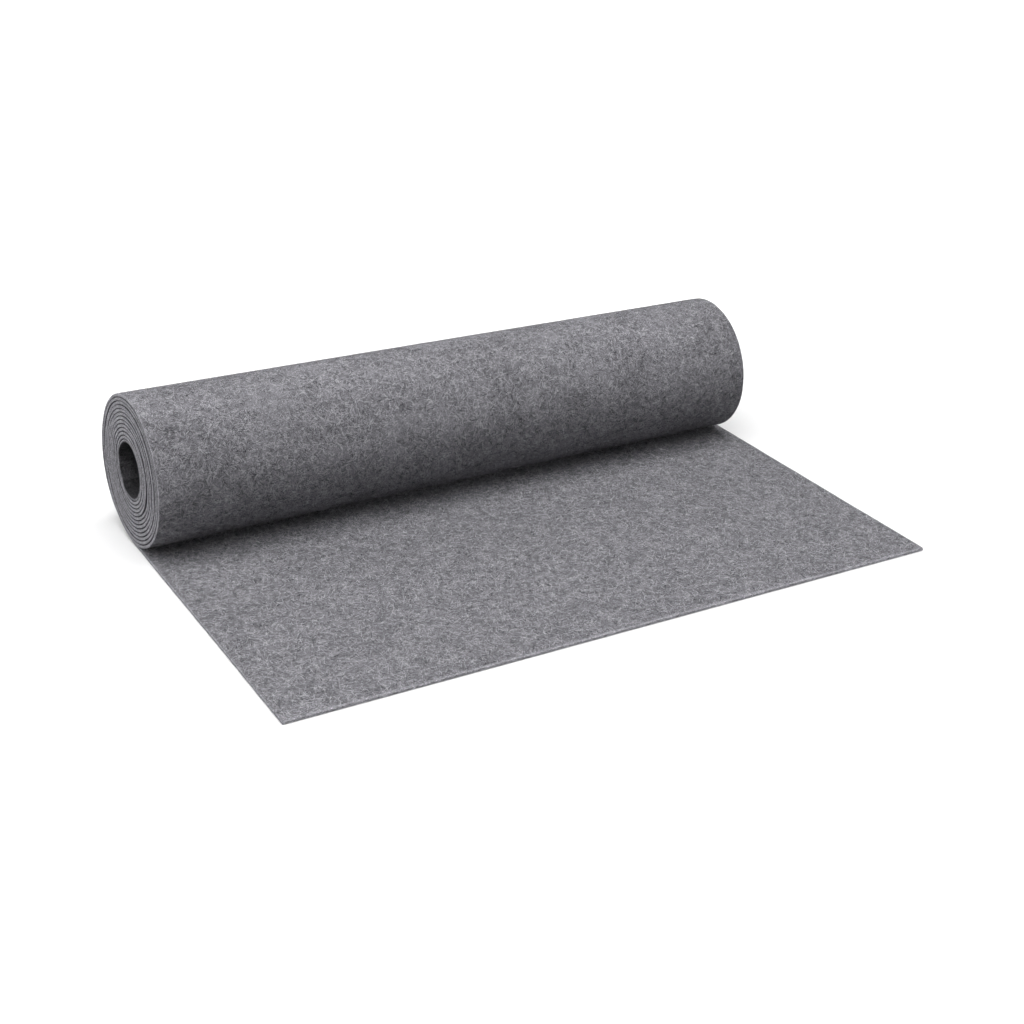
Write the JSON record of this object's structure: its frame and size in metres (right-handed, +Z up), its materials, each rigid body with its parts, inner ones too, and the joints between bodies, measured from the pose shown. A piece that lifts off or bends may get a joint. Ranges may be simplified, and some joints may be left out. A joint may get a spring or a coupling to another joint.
{
  "type": "roll of geotextile fabric",
  "caption": "Grey needle-punched felt wound into a roll lying on its side, open down the middle, with its loose end spread flat in front of it.",
  "frame": {"origin": "on the surface that the felt lies on, under the middle of the object's box", "axes": "+X along the roll, from the looser, wider end to the tighter one; the loose end lies towards -Y; +Z up"},
  "size_m": [1.0182, 0.6804, 0.2311],
  "materials": {
    "felt": "matt needle-punched polyester felt, mid grey, mottled with lighter and darker fibres"
  },
  "bodies": {
    "root": {"wound_roll": "felt", "loose_end": "felt"}
  },
  "joints": []
}
